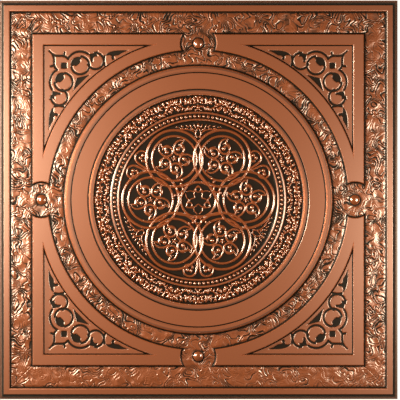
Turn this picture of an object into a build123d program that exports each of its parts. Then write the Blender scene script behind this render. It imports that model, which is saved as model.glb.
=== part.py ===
from build123d import *
from math import radians, tan
import os

os.makedirs("parts", exist_ok=True)

# A 2 ft square ceiling tile, vacuum-formed from one sheet of vinyl.
# Millimetres. Z = 0 is the underside of the border flange, the face side looks up (+Z).
# The relief is modelled first as a solid block. The sheet is what is left of it
# after the same relief, lowered by the sheet's gauge, is taken away, so the sheet
# has its full gauge on the flats and is drawn thinner on the slopes.
# The leaves of the floral ring and the tracery and curls of the rosette are too fine to
# show through the sheet, so they stand on the face side only and the back is flat.

# Sheet
tile_side = 603.0
gauge = 0.8
wall_draft = 36.0

# Levels of the face side above the underside
field_z = 3.4
rim_z = 7.6
frame_z = 7.8
spandrel_z = 4.2
groove_z = 6.9
band_z = 7.9
floral_z = 3.8
bead_channel_z = 4.4
rosette_z = 3.4

# Border, from the tile's edge inwards
flange_width = 7.5
rim_width = 8.0
border_width = 36.8
crest_radius = 1.2

# Corner frames: two straight bands along the border and an arc round the medallion
frame_band = 14.0
arc_inset = 20.7
arc_band = 14.7

# Bosses in the gaps between the corner frames
boss_inset = 12.4
boss_r = 7.0
boss_height = 4.0
boss_clearance = 21.6

# Medallion, from its rim inwards
annulus_width = 24.0
outer_bead_width = 12.1
outer_bead_rise = 1.5
wide_band_width = 25.2
groove_slope = 1.1
inner_bead_width = 10.4
inner_bead_rise = 0.7
floral_width = 21.4
ridge_width = 6.7
ridge_rise = 2.2
bead_channel_width = 4.3

# Rosette tracery
hoop_circle_r = 72.2
hoop_r = 42.8
eye_r = 26.6
tracery_crest = 1.0
tracery_rise = 1.8

# Curls, a ring of them in each hoop: where their tip, shoulder, ball and waist lie
# about their middle, outwards and to the left, and how high they stand
curl_circle_r = 17.9
curl_count = 5
curl_turn = 13.0
curl_tip = (8.6, 1.0)
curl_shoulder = (1.0, -6.8)
curl_ball = (-5.6, 1.6)
curl_waist = (3.6, 4.2)
curl_rise = 2.0

# Leaves of the floral ring, which stand in tents that are mirrored about their middle:
# angle from the middle of the tent, inset of the foot from the ring's outer edge, turn
# from straight outwards, length, width
floral_tents = 12
leaf_rise = 2.2
leaf_crest_share = 0.4
stem = (1.5, 8.6, 127, 20.5, 2.6)
hanging_leaf = (0.6, 11.4, 141, 10.2, 4.6)
upright_leaf = (0.9, 9.1, 47, 10.0, 5.0)
broad_leaf = (8.9, 12.6, 0, 11.6, 9.6)
low_leaf = (9.1, 20.4, 0, 6.4, 8.8)
spray_inset = 20.2
spray_length = 19.0
spray_width = 5.2


def run(height):
    """Plan width of a drafted wall of this height."""
    return height * tan(radians(wall_draft))


# Sizes that follow from these
flange_z = gauge
tracery_foot = tracery_crest + 2 * run(tracery_rise)
rim_outer_half = tile_side / 2 - flange_width
rim_inner_half = rim_outer_half - rim_width
frame_half = rim_inner_half - border_width
arc_inner_r = frame_half - arc_inset
boss_offset = frame_half - boss_inset
boss_gap_r = boss_r + boss_clearance
medallion_r = arc_inner_r - annulus_width
floral_r = medallion_r - outer_bead_width - wide_band_width - inner_bead_width


def bead(outer, inner, crest_z):
    """Bead between two (radius, height) feet, with drafted sides and a flat crest."""
    outer_crest = outer[0] - run(crest_z - outer[1])
    inner_crest = inner[0] + run(crest_z - inner[1])
    Polyline(outer, (outer_crest, crest_z), (inner_crest, crest_z), inner)


def ridge(outer, inner, crest_z):
    """Ridge between two (radius, height) feet, with its crest half-way between them."""
    Polyline(outer, ((outer[0] + inner[0]) / 2, crest_z), inner)


def leaf(length, width):
    """Leaf that points along X from its foot, with four facets up to its crest."""
    crest_x = length * leaf_crest_share
    with BuildSketch() as outline:
        Polygon((0, 0), (crest_x, -width / 2), (length, 0), (crest_x, width / 2), align=None)
    with BuildPart() as body:
        loft(sections=[outline.face(), Vertex(crest_x, 0, leaf_rise)], ruled=True)
    return body.part


def tracery_section(radius):
    """Drafted section of a round tracery line, at its radius on the rosette's ground."""
    with Locations((radius, rosette_z)):
        Trapezoid(tracery_foot, tracery_rise, 90 - wall_draft, align=(Align.CENTER, Align.MIN))


# Boss, a round stud with a flat top
with BuildPart() as boss:
    with BuildSketch(Plane.XZ):
        with BuildLine():
            Polyline(
                (0, flange_z),
                (boss_r, flange_z),
                (boss_r, field_z),
                (boss_r - run(boss_height), field_z + boss_height),
                (0, field_z + boss_height),
                (0, flange_z),
            )
        make_face()
    revolve(axis=Axis.Z)

# Shape of the four spandrel pockets, standing on their mouths
with BuildPart() as panel_pockets:
    with BuildSketch():
        Rectangle(2 * (frame_half - frame_band), 2 * (frame_half - frame_band))
        Circle(arc_inner_r + arc_band, mode=Mode.SUBTRACT)
    extrude(amount=frame_z - spandrel_z, taper=wall_draft)

# Hoop of the rosette, a ring of tracery round a ring of curls
with BuildPart() as hoop:
    with BuildSketch(Plane.XZ):
        tracery_section(hoop_r)
    revolve(axis=Axis.Z)
    with BuildSketch(Plane.XY.offset(rosette_z)):
        with PolarLocations(curl_circle_r, curl_count, start_angle=curl_turn):
            Polygon(curl_tip, curl_waist, curl_ball, curl_shoulder, align=None)
    extrude(amount=curl_rise, taper=wall_draft)

# Round eye of the rosette
with BuildPart() as eye_ring:
    with BuildSketch(Plane.XZ):
        tracery_section(eye_r)
    revolve(axis=Axis.Z)

# Leaves of one tent of the floral ring, on one side of its middle
with BuildPart() as half_tent:
    for angle, inset, turn, length, width in (stem, hanging_leaf, upright_leaf, broad_leaf, low_leaf):
        with PolarLocations(floral_r - inset, 1, start_angle=angle):
            with Locations(Location((0, 0, 0), (0, 0, turn))):
                add(leaf(length, width))

# One tent, and the spray between it and the next
with BuildPart() as tent:
    add(half_tent.part)
    mirror(about=Plane.XZ)
    with PolarLocations(floral_r - spray_inset, 1, start_angle=180 / floral_tents):
        add(leaf(spray_length, spray_width))

# Relief block
with BuildPart() as relief:
    # Flange
    Box(tile_side, tile_side, flange_z, align=(Align.CENTER, Align.CENTER, Align.MIN))

    # Rim plateau, drafted down to the flange
    rim_height = rim_z - flange_z
    with BuildSketch(Plane.XY.offset(flange_z)):
        Rectangle(2 * (rim_outer_half + run(rim_height)), 2 * (rim_outer_half + run(rim_height)))
    extrude(amount=rim_height, taper=wall_draft)

    # Field sunk inside the rim
    with BuildSketch(Plane(origin=(0, 0, rim_z), z_dir=(0, 0, -1))):
        Rectangle(2 * rim_inner_half, 2 * rim_inner_half)
    extrude(amount=rim_z - field_z, taper=wall_draft, mode=Mode.SUBTRACT)

    # Rounded crests of the rim
    rim_crests = relief.edges().filter_by_position(Axis.Z, rim_z - 0.01, rim_z + 0.01)
    fillet(rim_crests, crest_radius)

    # Four corner frames, parted by the boss gaps
    frame_run = run(frame_z - field_z)
    with BuildSketch(Plane.XY.offset(field_z)):
        Rectangle(2 * (frame_half + frame_run), 2 * (frame_half + frame_run))
        Circle(arc_inner_r - frame_run, mode=Mode.SUBTRACT)
        with PolarLocations(boss_offset, 4):
            Circle(boss_gap_r - frame_run, mode=Mode.SUBTRACT)
    extrude(amount=frame_z - field_z, taper=wall_draft)

    # Spandrel pockets, turned over to hang down from the tops of the frames
    with Locations(Location((0, 0, frame_z), (0, 180, 0))):
        add(panel_pockets.part, mode=Mode.SUBTRACT)

    # Medallion mouldings turned about the centre
    with BuildSketch(Plane.XZ):
        with BuildLine():
            medallion_foot = (medallion_r, field_z)
            outer_groove = (medallion_r - outer_bead_width, groove_z)
            inner_groove = (outer_groove[0] - wide_band_width, groove_z)
            floral_edge = (floral_r, floral_z)
            ridge_one_foot = (floral_edge[0] - floral_width, floral_z)
            channel_edge = (ridge_one_foot[0] - ridge_width, bead_channel_z)
            channel_end = (channel_edge[0] - bead_channel_width, bead_channel_z)
            rosette_edge = (channel_end[0] - ridge_width, rosette_z)
            bead(medallion_foot, outer_groove, groove_z + outer_bead_rise)
            Polyline(
                outer_groove,
                (outer_groove[0] - groove_slope, band_z),
                (inner_groove[0] + groove_slope, band_z),
                inner_groove,
            )
            bead(inner_groove, floral_edge, groove_z + inner_bead_rise)
            Line(floral_edge, ridge_one_foot)
            ridge(ridge_one_foot, channel_edge, bead_channel_z + ridge_rise)
            Line(channel_edge, channel_end)
            ridge(channel_end, rosette_edge, bead_channel_z + ridge_rise)
            Polyline(rosette_edge, (0, rosette_z), (0, flange_z), (medallion_r, flange_z), medallion_foot)
        make_face()
    revolve(axis=Axis.Z)

    # Bosses
    with PolarLocations(boss_offset, 4):
        add(boss.part)

# The formed sheet
with BuildPart() as ceiling_tile:
    add(relief.part)
    with Locations((0, 0, -gauge)):
        add(relief.part, mode=Mode.SUBTRACT)
    with PolarLocations(hoop_circle_r, 6):
        add(hoop.part)
    add(eye_ring.part)
    with Locations((0, 0, floral_z)):
        with PolarLocations(0, floral_tents, start_angle=180 / floral_tents):
            add(tent.part)

ceiling_tile.part.label = "ceiling_tile"
export_step(ceiling_tile.part, "parts/ceiling_tile.step")
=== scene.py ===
"""Antique-copper dress for a vacuum-formed vinyl ceiling tile.

Run as a script in Blender 4.5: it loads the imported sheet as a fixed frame, lays the
fine relief on its face, gives every surface its finish and sets up a small studio.
Lengths are metres. The sheet lies face up, centred on the origin, its flange on Z = 0.
"""

import math

import bpy
import numpy as np
from bpy.props import FloatProperty, FloatVectorProperty, IntProperty, PointerProperty
from bpy.types import Operator, Panel, PropertyGroup
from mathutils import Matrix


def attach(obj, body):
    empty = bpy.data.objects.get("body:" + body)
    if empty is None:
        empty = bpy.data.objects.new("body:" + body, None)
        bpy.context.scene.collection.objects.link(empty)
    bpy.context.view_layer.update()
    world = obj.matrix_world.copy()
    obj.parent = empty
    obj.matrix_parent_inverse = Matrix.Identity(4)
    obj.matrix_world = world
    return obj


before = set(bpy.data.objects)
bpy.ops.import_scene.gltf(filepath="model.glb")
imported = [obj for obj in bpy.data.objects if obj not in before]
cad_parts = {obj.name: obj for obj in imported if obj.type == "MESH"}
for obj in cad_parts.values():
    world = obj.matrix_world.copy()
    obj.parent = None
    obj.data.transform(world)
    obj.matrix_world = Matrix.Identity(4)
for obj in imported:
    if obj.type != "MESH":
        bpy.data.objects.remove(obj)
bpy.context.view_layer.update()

bl_info = {
    "name": "Copper Ceiling Tile",
    "version": (1, 0, 0),
    "blender": (4, 5, 0),
    "location": "3D View > Sidebar > Ceiling Tile",
    "description": "Fine relief, antique-copper finish and studio for a formed vinyl ceiling tile",
    "category": "Add Mesh",
}

SHEET = "ceiling_tile"
BODY = "root"
MM = 0.001
WALL_DRAFT = math.tan(math.radians(36.0))

# Levels and radii of the formed sheet, in millimetres, that the fine relief is fitted to
FIELD_Z = 3.4
RIM_Z = 7.6
FRAME_Z = 7.8
SPANDREL_Z = 4.2
FLORAL_Z = 3.8
BEAD_Z = 4.4
ROSETTE_Z = 3.4
RIM_INNER_HALF = 286.0
FRAME_HALF = 249.2
FRAME_BAND = 14.0
ARC_INNER_R = 228.5
ARC_BAND = 14.7
BOSS_OFFSET = 236.8
BOSS_GAP_R = 28.6
BOSS_DOME_R = 7.7
BOSS_DOME_Z = 8.3
MEDALLION_R = 204.5
BEAD_R = 126.5

# How far each added piece reaches down into the ground that it stands on
SINK = 0.1

# Sizes and colours


class TileReliefSettings(PropertyGroup):
    """Sizes of the fine relief laid on the formed sheet."""

    hammer_step: FloatProperty(
        name="Hammered grid", description="Grid spacing of the hammered ground",
        default=0.8 * MM, unit="LENGTH",
    )
    hammer_lump: FloatProperty(
        name="Lump height", description="Height of the broad lumps of the hammered ground",
        default=0.75 * MM, unit="LENGTH",
    )
    hammer_line: FloatProperty(
        name="Ripple depth", description="Depth of the ripple lines of the hammered ground",
        default=1.1 * MM, unit="LENGTH",
    )
    hammer_rise: FloatProperty(
        name="Ground rise", description="Mean height of the hammered ground above the field",
        default=0.9 * MM, unit="LENGTH",
    )
    hammer_seed: IntProperty(name="Pattern", description="Pattern number of the hammered ground", default=11)
    plate_rise: FloatProperty(
        name="Plate rise", description="Height of the scrollwork plate above the spandrel floor",
        default=1.2 * MM, unit="LENGTH",
    )
    plate_step: FloatProperty(
        name="Scrollwork grid", description="Grid spacing of the scrollwork plates",
        default=0.62 * MM, unit="LENGTH",
    )
    strand_width: FloatProperty(
        name="Hoop half-width", description="Half the width of the rosette's hoops",
        default=2.2 * MM, unit="LENGTH",
    )
    strand_rise: FloatProperty(
        name="Hoop rise", description="Mean height of the rosette's hoops above its ground",
        default=2.9 * MM, unit="LENGTH",
    )
    weave_rise: FloatProperty(
        name="Weave", description="How far a hoop rises and dips where it crosses another",
        default=0.45 * MM, unit="LENGTH",
    )
    leaf_rise: FloatProperty(
        name="Leaf rise", description="Height of the leaves of the floral ring",
        default=3.0 * MM, unit="LENGTH",
    )
    bead_count: IntProperty(
        name="Beads", description="Number of beads between the two ridges", default=117, min=12,
    )
    bead_radius: FloatProperty(
        name="Bead radius", description="Radius of one bead",
        default=2.6 * MM, unit="LENGTH",
    )


class TileFinishSettings(PropertyGroup):
    """Colours of the printed antique-copper finish."""

    copper: FloatVectorProperty(
        name="Copper", description="Rubbed copper on the high parts",
        subtype="COLOR", size=3, default=(0.58, 0.132, 0.028),
    )
    copper_dark: FloatVectorProperty(
        name="Aged copper", description="Copper between the rubbed parts and the patina",
        subtype="COLOR", size=3, default=(0.2, 0.055, 0.017),
    )
    patina: FloatVectorProperty(
        name="Patina", description="Dark patina in the recesses",
        subtype="COLOR", size=3, default=(0.019, 0.0085, 0.0035),
    )
    back: FloatVectorProperty(
        name="Back", description="Unprinted vinyl on the back",
        subtype="COLOR", size=3, default=(0.16, 0.13, 0.11),
    )


class TileStudioSettings(PropertyGroup):
    """Camera, lights and floor."""

    picture_side: FloatProperty(
        name="Picture side", description="Width of floor that the square picture spans",
        default=604.4 * MM, unit="LENGTH",
    )
    camera_shift: FloatVectorProperty(
        name="Camera place", description="Camera's place over the tile, from its centre",
        size=2, default=(2.6 * MM, -0.3 * MM), unit="LENGTH",
    )
    lens: FloatProperty(
        name="Lens", description="Focal length of the overhead camera in millimetres", default=250.0,
    )
    key_power: FloatProperty(
        name="Key light", description="Power of the soft light on the left, in watts", default=3.6,
    )
    rake_power: FloatProperty(
        name="Raking light", description="Power of the low light far on the left, in watts", default=21.0,
    )
    fill_power: FloatProperty(
        name="Fill light", description="Power of the soft light on the right, in watts", default=2.2,
    )
    floor_colour: FloatVectorProperty(
        name="Floor", description="Pale floor",
        subtype="COLOR", size=3, default=(0.82, 0.82, 0.81),
    )


# Number fields


def smooth_step(value, low, high):
    """0 below low, 1 above high, and the smooth cubic 3t^2 - 2t^3 between."""
    t = np.clip((value - low) / (high - low), 0.0, 1.0)
    return t * t * (3.0 - 2.0 * t)


def smooth_least(a, b, reach):
    """Smaller of two distances, rounded over where they differ by less than the reach.

    It is the smaller one less (reach - |a - b|)^2 / (4 reach).
    """
    return np.minimum(a, b) - np.maximum(reach - np.abs(a - b), 0.0) ** 2 / (4.0 * reach)


def share(least, amount):
    """Straight line in the amount: the least value where it is 0, and 1 where it is 1."""
    return least + (1.0 - least) * amount


def lattice_noise(x, y, cell, seed):
    """Gradient noise, about -0.7 to 0.7.

    Slopes are drawn at random on a square lattice, and the planes through the four
    nearest knots are blended with the quintic 6w^5 - 15w^4 + 10w^3.
    """
    knots = 97
    rng = np.random.default_rng(seed)
    turn = rng.uniform(0.0, 2.0 * np.pi, (knots, knots))
    slope_x, slope_y = np.cos(turn), np.sin(turn)
    u, v = x / cell + knots / 2.0, y / cell + knots / 2.0
    i, j = np.floor(u).astype(int), np.floor(v).astype(int)
    u, v = u - i, v - j
    blend_u, blend_v = (w * w * w * (w * (w * 6.0 - 15.0) + 10.0) for w in (u, v))

    def corner(a, b):
        p, q = (i + a) % knots, (j + b) % knots
        return slope_x[p, q] * (u - a) + slope_y[p, q] * (v - b)

    low = corner(0, 0) * (1.0 - blend_u) + corner(1, 0) * blend_u
    high = corner(0, 1) * (1.0 - blend_u) + corner(1, 1) * blend_u
    return low * (1.0 - blend_v) + high * blend_v


# Mesh building

# Shares of a strand's height and of a dome's over which the rubbing comes in
STRAND_RUB = (0.0, 0.6)
DOME_RUB = (0.05, 0.5)


def add_piece(name, points, loops, sizes, rubbed, material):
    """One object from points (n, 3) in millimetres, a flat corner list and the corner count of each face.

    The rubbed attribute runs from 0 in the recesses to 1 on the high parts.
    """
    mesh = bpy.data.meshes.new(name)
    mesh.vertices.add(len(points))
    mesh.vertices.foreach_set("co", (points * MM).astype(np.float32).ravel())
    mesh.loops.add(len(loops))
    mesh.loops.foreach_set("vertex_index", loops.astype(np.int32))
    mesh.polygons.add(len(sizes))
    starts = np.concatenate(([0], np.cumsum(sizes)[:-1])).astype(np.int32)
    mesh.polygons.foreach_set("loop_start", starts)
    mesh.polygons.foreach_set("use_smooth", (sizes <= 4).astype(bool))
    mesh.update(calc_edges=True)
    layer = mesh.attributes.new("rubbed", "FLOAT", "POINT")
    layer.data.foreach_set("value", rubbed.astype(np.float32).ravel())
    if mesh.validate():
        raise RuntimeError(f"{name}: the mesh had faults")
    piece = bpy.data.objects.new(name, mesh)
    bpy.context.scene.collection.objects.link(piece)
    piece.data.materials.append(material)
    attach(piece, BODY)


def join_shells(shells):
    """Several (points, loops, sizes, rubbed) shells as one, with the corner numbers moved on."""
    offset = 0
    moved = []
    for points, loops, _, _ in shells:
        moved.append(loops + offset)
        offset += len(points)
    return (
        np.concatenate([shell[0] for shell in shells]),
        np.concatenate(moved),
        np.concatenate([shell[2] for shell in shells]),
        np.concatenate([shell[3] for shell in shells]),
    )


def loop_order(follower):
    """Order of the members of one closed ring, each of which names its follower.

    Each member's distance to the ring's last member is found by doubling: after every
    pass it knows the member twice as far on.
    """
    count = len(follower)
    ahead = follower.copy()
    last = int(np.flatnonzero(follower == 0)[0])
    ahead[last] = last
    steps = np.ones(count, dtype=int)
    steps[last] = 0
    for _ in range(int(math.ceil(math.log2(count))) + 1):
        steps = steps + steps[ahead]
        ahead = ahead[ahead]
    return np.argsort(-steps, kind="stable")


def slab_shell(x_range, y_range, step, outline, surface, bottom, draft=WALL_DRAFT):
    """Closed slab with a relief on top: z = surface(x, y) on a square grid, cut to where outline(x, y) > 0.

    outline is the distance in from the edge. Grid points on the rim of the kept cells
    are moved along its slope onto the edge. The side wall leans in by the draft, which
    is that of the sheet's walls unless another is given, down to a flat bottom.
    """
    x, y = np.meshgrid(np.arange(*x_range, step), np.arange(*y_range, step), indexing="ij")
    inside = outline(x, y)
    centre = (inside[:-1, :-1] + inside[1:, :-1] + inside[:-1, 1:] + inside[1:, 1:]) / 4.0
    kept = np.pad(centre > 0.0, 1)
    core = kept[1:-1, 1:-1]
    around = kept[:-1, :-1].astype(int) + kept[1:, :-1] + kept[:-1, 1:] + kept[1:, 1:]
    rim = (around > 0) & (around < 4)
    nudge = 0.05 * step
    least_steep = 0.25
    for _ in range(3):
        gap = outline(x, y)
        slope_x = (outline(x + nudge, y) - outline(x - nudge, y)) / (2.0 * nudge)
        slope_y = (outline(x, y + nudge) - outline(x, y - nudge)) / (2.0 * nudge)
        steep = np.maximum(slope_x**2 + slope_y**2, least_steep)
        x = np.where(rim, x - gap * slope_x / steep, x)
        y = np.where(rim, y - gap * slope_y / steep, y)
    z, rubbed = surface(x, y)

    number = np.full(x.shape, -1)
    used = around > 0
    number[used] = np.arange(used.sum())
    top = np.stack((x[used], y[used], z[used]), axis=1)
    i, j = np.nonzero(core)
    quads = np.stack((number[i, j], number[i + 1, j], number[i + 1, j + 1], number[i, j + 1]), axis=1)

    # Directed rim edges, with the slab on their left
    edges = []
    for di, dj, a, b in ((0, -1, 0, 1), (1, 0, 1, 2), (0, 1, 2, 3), (-1, 0, 3, 0)):
        open_side = ~kept[i + 1 + di, j + 1 + dj]
        edges.append(quads[open_side][:, (a, b)])
    edges = np.concatenate(edges)
    place = np.full(len(top), -1)
    place[edges[:, 0]] = np.arange(len(edges))
    ring = edges[loop_order(place[edges[:, 1]]), 0]
    if len(np.unique(ring)) != len(edges):
        raise RuntimeError("a slab's outline isn't one plain ring")

    lean = (top[ring, 2] - bottom) * draft
    to_x, to_y = slope_x[used][ring], slope_y[used][ring]
    length = np.maximum(np.hypot(to_x, to_y), 1e-6)
    foot_x = top[ring, 0] + lean * to_x / length
    foot_y = top[ring, 1] + lean * to_y / length
    foot = np.stack((foot_x, foot_y, np.full(len(ring), bottom)), axis=1)
    low = len(top) + np.arange(len(ring))
    walls = np.stack((low, np.roll(low, -1), np.roll(ring, -1), ring), axis=1)
    loops = np.concatenate((quads.ravel(), walls.ravel(), low[::-1]))
    sizes = np.concatenate((np.full(len(quads) + len(walls), 4), [len(ring)]))
    return np.concatenate((top, foot)), loops, sizes, np.concatenate((rubbed[used], np.zeros(len(ring))))


def strand_shell(path, width, crest, foot, closed=False, around=8):
    """Closed strands: a half-round profile carried along paths.

    path holds complex plan points, one row a strand. Across it the profile is
    (width cos a, foot + (crest - foot) sin a) for a from 0 to 180 degrees, and the
    flat underside joins the two feet.
    """
    path = np.atleast_2d(path)
    strands, steps = path.shape
    width = np.broadcast_to(width, path.shape)
    crest = np.broadcast_to(crest, path.shape)
    if closed:
        onward = np.roll(path, -1, axis=1) - np.roll(path, 1, axis=1)
    else:
        onward = np.gradient(path, axis=1)
    left = 1j * onward / np.abs(onward)
    turn = np.linspace(0.0, np.pi, around + 1)
    plan = path[..., None] + (left * width)[..., None] * np.cos(turn)
    lift = np.sin(turn) + 0.0 * plan.real
    z = foot + (crest - foot)[..., None] * lift
    points = np.stack((plan.real, plan.imag, z), axis=-1).reshape(-1, 3)
    rubbed = smooth_step(lift, *STRAND_RUB).reshape(-1)

    corners = around + 1
    number = np.arange(strands * steps * corners).reshape(strands, steps, corners)
    here = number if closed else number[:, :-1]
    there = np.roll(number, -1, axis=1) if closed else number[:, 1:]
    quads = np.stack((here, np.roll(here, -1, axis=2), np.roll(there, -1, axis=2), there), axis=-1)
    quads = quads.reshape(-1, 4)
    loops, sizes = quads.ravel(), np.full(len(quads), 4)
    if not closed:
        caps = np.concatenate((number[:, 0, ::-1], number[:, -1]))
        loops = np.concatenate((loops, caps.ravel()))
        sizes = np.concatenate((sizes, np.full(len(caps), corners)))
    return points, loops, sizes, rubbed


def dome_shell(centres, radius, crest, foot, rows=5, columns=14):
    """Closed domes: at polar angle a from the pole, (radius sin a, foot + (crest - foot) cos a)."""
    centres = np.atleast_1d(centres)
    a = np.linspace(0.0, np.pi / 2.0, rows + 1)[1:]
    b = np.linspace(0.0, 2.0 * np.pi, columns, endpoint=False)
    radius = np.broadcast_to(radius, centres.shape)
    plan = centres[:, None, None] + radius[:, None, None] * np.sin(a)[:, None] * np.exp(1j * b)
    z = np.broadcast_to(foot + (crest - foot) * np.cos(a)[:, None], plan.shape)
    rings = np.stack((plan.real, plan.imag, z), axis=-1).reshape(len(centres), -1, 3)
    poles = np.stack((centres.real, centres.imag, np.full(len(centres), crest)), axis=-1)[:, None]
    points = np.concatenate((rings, poles), axis=1)
    each = rows * columns + 1
    first = (np.arange(len(centres)) * each)[:, None]
    ring = np.arange(rows * columns).reshape(rows, columns)
    beside = np.roll(ring, -1, axis=1)
    fan = np.stack((ring[0], beside[0], np.full(columns, rows * columns)), axis=-1).ravel()
    quads = np.stack((ring[1:], beside[1:], beside[:-1], ring[:-1]), axis=-1).ravel()
    base = ring[-1, ::-1]
    one = np.concatenate((fan, quads, base))
    sizes = np.concatenate((np.full(columns, 3), np.full((rows - 1) * columns, 4), [columns]))
    rubbed = np.concatenate((np.repeat(smooth_step(np.cos(a), *DOME_RUB), columns), [1.0]))
    loops = (one + first).ravel()
    return points.reshape(-1, 3), loops, np.tile(sizes, len(centres)), np.tile(rubbed, len(centres))


def quarter_turned(points, quarters):
    """Points turned about the tile's centre by so many right angles."""
    plan = (points[:, 0] + 1j * points[:, 1]) * 1j**quarters
    return np.stack((plan.real, plan.imag, points[:, 2]), axis=1)


def turned(path, angles):
    """Copies of plan points turned about the centre by each angle in degrees."""
    path = np.atleast_2d(path)
    turns = np.exp(1j * np.radians(np.asarray(angles, dtype=float)))
    return (turns[:, None, None] * path).reshape(-1, path.shape[1])


def circle(centre, radius, steps=128):
    """Plan points round a circle."""
    return centre + radius * np.exp(2j * np.pi * np.arange(steps) / steps)


def eased(s, knots, values):
    """Values at knots, joined by smooth cubics that are level at each knot."""
    place = np.clip(np.searchsorted(knots, s, side="right") - 1, 0, len(knots) - 2)
    knots, values = np.asarray(knots, dtype=float), np.asarray(values, dtype=float)
    t = np.clip((s - knots[place]) / (knots[place + 1] - knots[place]), 0.0, 1.0)
    return values[place] + (values[place + 1] - values[place]) * t * t * (3.0 - 2.0 * t)


def smooth_path(points, closed=False, per_span=6):
    """Plan points along a Catmull-Rom curve through given points."""
    knots = np.array([complex(*point) for point in points])
    if closed:
        before, after, beyond = np.roll(knots, 1), np.roll(knots, -1), np.roll(knots, -2)
        here = knots
    else:
        padded = np.concatenate(([2 * knots[0] - knots[1]], knots, [2 * knots[-1] - knots[-2]]))
        before, here, after, beyond = padded[:-3], padded[1:-2], padded[2:-1], padded[3:]
    t = np.linspace(0.0, 1.0, per_span, endpoint=False)[None, :]
    before, here, after, beyond = (side[:, None] for side in (before, here, after, beyond))
    curve = 0.5 * (
        2 * here + (after - before) * t + (2 * before - 5 * here + 4 * after - beyond) * t**2
        + (3 * here - before - 3 * after + beyond) * t**3
    ).ravel()
    return curve if closed else np.append(curve, knots[-1])


def lobe(start, end, width, bend=0.0, steps=9):
    """Path and half-widths of one lobe that ends in two points.

    The path is the line from start to end, bowed to its left by 4 bend s (1 - s) of its
    length, and the half-width swells as sin(pi s^0.75)^0.7, with a least share at the ends.
    """
    s = np.linspace(0.0, 1.0, steps)
    span = end - start
    path = start + span * s + 1j * span * bend * 4.0 * s * (1.0 - s)
    least_share = 0.08
    swell = np.maximum(np.sin(np.pi * s**0.75) ** 0.7, least_share)
    return path, width * swell


# Hammered ground

# How far the ground runs up the walls round it, and how near the tile's centre a side starts
HAMMER_TUCK = 0.75
HAMMER_START = 140.0
# Rounding of a side's corners on the diagonals, and how far it overlaps the next side there
HAMMER_CORNER = 1.6
HAMMER_OVERLAP = 0.1
# Cells of the noise that bends the ripples, draws them, raises the lumps and picks the lively parts
WARP_CELL = 17.0
RIPPLE_CELLS = (27.0, 12.0)
LUMP_CELLS = (15.0, 7.0)
LIVELY_CELL = 33.0
# How far the ripples are bent, and the strength of the finer noise in the ripples and in the lumps
WARP_SHIFT = 9.0
RIPPLE_FINE = 0.45
LUMP_FINE = 0.28
# Ripple lines to a unit of noise, half-widths of a line's groove and ridge, and the ridge's place beside it
RIPPLE_LEVELS = 5.6
GROOVE_HALF = 0.7
RIDGE_HALF = 0.8
RIDGE_OFFSET = 1.35
# Least slope of the field that counts, so that flat places don't turn into wide grooves
LEAST_SLOPE = 0.03
# Ridge and groove as shares of the ripple depth, and the lumps as a multiple of the lump height
RIDGE_SHARE = 0.55
GROOVE_SHARE = 0.6
LUMP_GAIN = 1.6
# Noise from and to which the ripples grow lively, and where the bottom side, calmer and lighter by painted
# light, starts and ends
LIVELY_NOISE = (-0.34, 0.04)
BOTTOM_SIDE = (190.0, 250.0)
# How much calmer the bottom side is, and what is left of ripples and of dark grooves where all is calm
BOTTOM_CALM = 0.5
CALM_RIPPLE = 0.35
CALM_GROOVE = 0.25
# Distances from the edge over which the ground rises and is rubbed, and its share of the rise at the edge
EDGE_RISE = (-0.6, 3.2)
EDGE_RUB = (-0.6, 2.0)
EDGE_SHARE = 0.45
# Width and drop of the dark ring round each boss, patina in the dip and painted shade round the boss's foot,
# and the least height of the ground over the field
BOSS_RING = 4.5
BOSS_RING_DROP = 0.7
LEAST_HEIGHT = 0.12
# What each part of the ground adds to its rubbing, or takes from it; what the bottom side adds is painted
# light that makes that side lighter
EVEN_RUB = 0.85
BOTTOM_PAINTED_LIGHT = 0.35
LUMP_RUB = 0.7
RIDGE_RUB = 0.3
GROOVE_RUB = 1.7


def boss_distance(x, y):
    """Distance from the middle of the nearest of the four bosses."""
    near, far = np.minimum(np.abs(x), np.abs(y)), np.maximum(np.abs(x), np.abs(y))
    return np.hypot(near, far - BOSS_OFFSET)


def hammered_outline(x, y):
    """Distance in from the edge of the hammered ground, between the rim, the frames and the medallion."""
    m = np.maximum(np.abs(x), np.abs(y))
    r = np.hypot(x, y)
    rim_foot = RIM_INNER_HALF - (RIM_Z - FIELD_Z) * WALL_DRAFT
    spread = (FRAME_Z - FIELD_Z) * WALL_DRAFT
    in_corner = np.minimum(FRAME_HALF + spread - m, r - (ARC_INNER_R - spread))
    in_frame = np.minimum(in_corner, boss_distance(x, y) - (BOSS_GAP_R - spread))
    inside_rim = np.minimum(rim_foot - m, -in_frame)
    return HAMMER_TUCK + np.minimum(inside_rim, r - MEDALLION_R)


def hammered_side(x, y):
    """The hammered ground's outline, cut along the diagonals to the side that looks along +Y."""
    diagonal = (y - np.abs(x)) / math.sqrt(2.0) + HAMMER_OVERLAP
    return smooth_least(hammered_outline(x, y), diagonal, HAMMER_CORNER)


def ripple_phase(x, y, seed):
    """Broad and finer noise, in units that set a ripple line midway between each two whole numbers."""
    broad, fine = RIPPLE_CELLS
    noise = lattice_noise(x, y, broad, seed + 2) + RIPPLE_FINE * lattice_noise(x, y, fine, seed + 3)
    return RIPPLE_LEVELS * noise


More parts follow.
